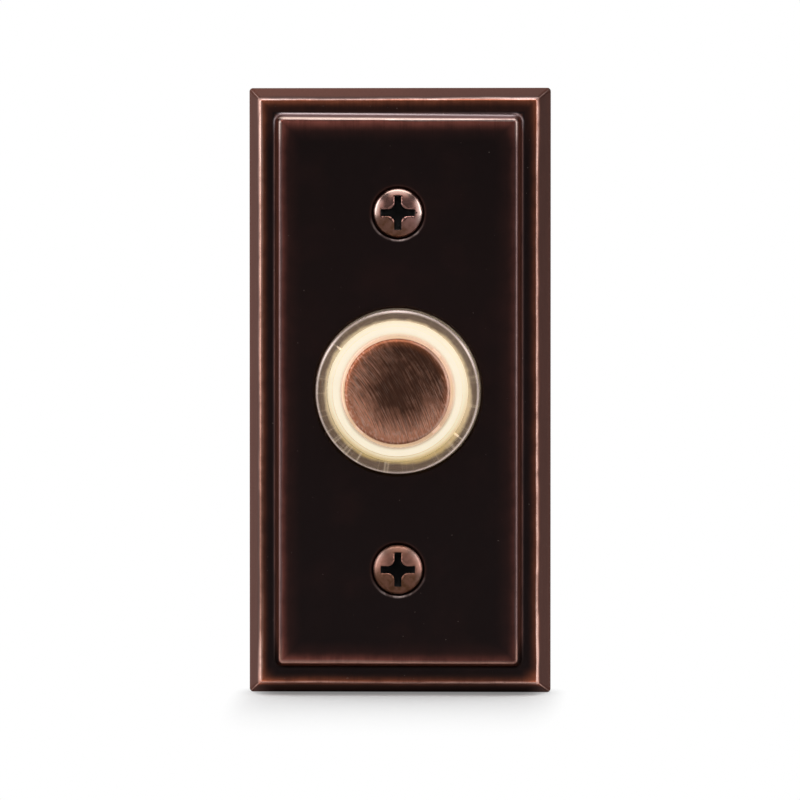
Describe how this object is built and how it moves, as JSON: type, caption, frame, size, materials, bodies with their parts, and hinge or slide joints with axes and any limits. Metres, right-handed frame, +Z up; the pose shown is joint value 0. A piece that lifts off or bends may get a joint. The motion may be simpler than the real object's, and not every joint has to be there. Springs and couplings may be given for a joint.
{
  "type": "doorbell push button",
  "caption": "Lighted rectangular doorbell push button for surface mounting, with a stepped bronze plate, a glowing ring and a round copper cap that presses in.",
  "frame": {"origin": "centre of the plate's rim on the wall plane", "axes": "+Z up the plate, +Y into the wall, front towards -Y"},
  "size_m": [0.038, 0.0292, 0.0762],
  "materials": {
    "bronze": "oil-rubbed bronze over die-cast zinc, copper showing at the edges",
    "clear_lens": "clear moulded plastic",
    "opal": "opal moulded plastic, lit from behind",
    "board": "white solder mask",
    "led": "cast resin",
    "chip": "moulded chip",
    "copper": "brushed antique copper",
    "white_moulding": "moulded acetal",
    "brass": "pressed brass",
    "brass_screw": "turned brass",
    "spring_steel": "drawn wire",
    "black_moulding": "fine spark-eroded moulding",
    "zinc_screw": "zinc plated",
    "copper_screw": "antique copper plated"
  },
  "bodies": {
    "housing": {"face_plate": "bronze", "lens_ring": "clear_lens", "light_diffuser": "opal", "led_board": "board", "led_1": "led", "led_2": "led", "led_3": "led", "led_4": "led", "series_resistor": "chip", "rectifier_diode": "chip", "return_spring": "spring_steel", "switch_base": "black_moulding", "fixed_contact_left": "brass", "fixed_contact_right": "brass", "terminal_screw_left": "brass_screw", "terminal_screw_right": "brass_screw", "base_screw_1": "zinc_screw", "base_screw_2": "zinc_screw", "base_screw_3": "zinc_screw", "base_screw_4": "zinc_screw", "mounting_screw_upper": "copper_screw", "mounting_screw_lower": "copper_screw"},
    "button": {"button_cap": "copper", "plunger": "white_moulding", "contact_washer": "brass"}
  },
  "joints": [
    {"name": "button_press", "type": "slide", "parent": "housing", "child": "button", "axis": [0, 1, 0], "range_m": [0, 0.0015], "stiffness_N_per_m": 800, "springref_m": -0.002, "deforming": ["return_spring"]}
  ]
}
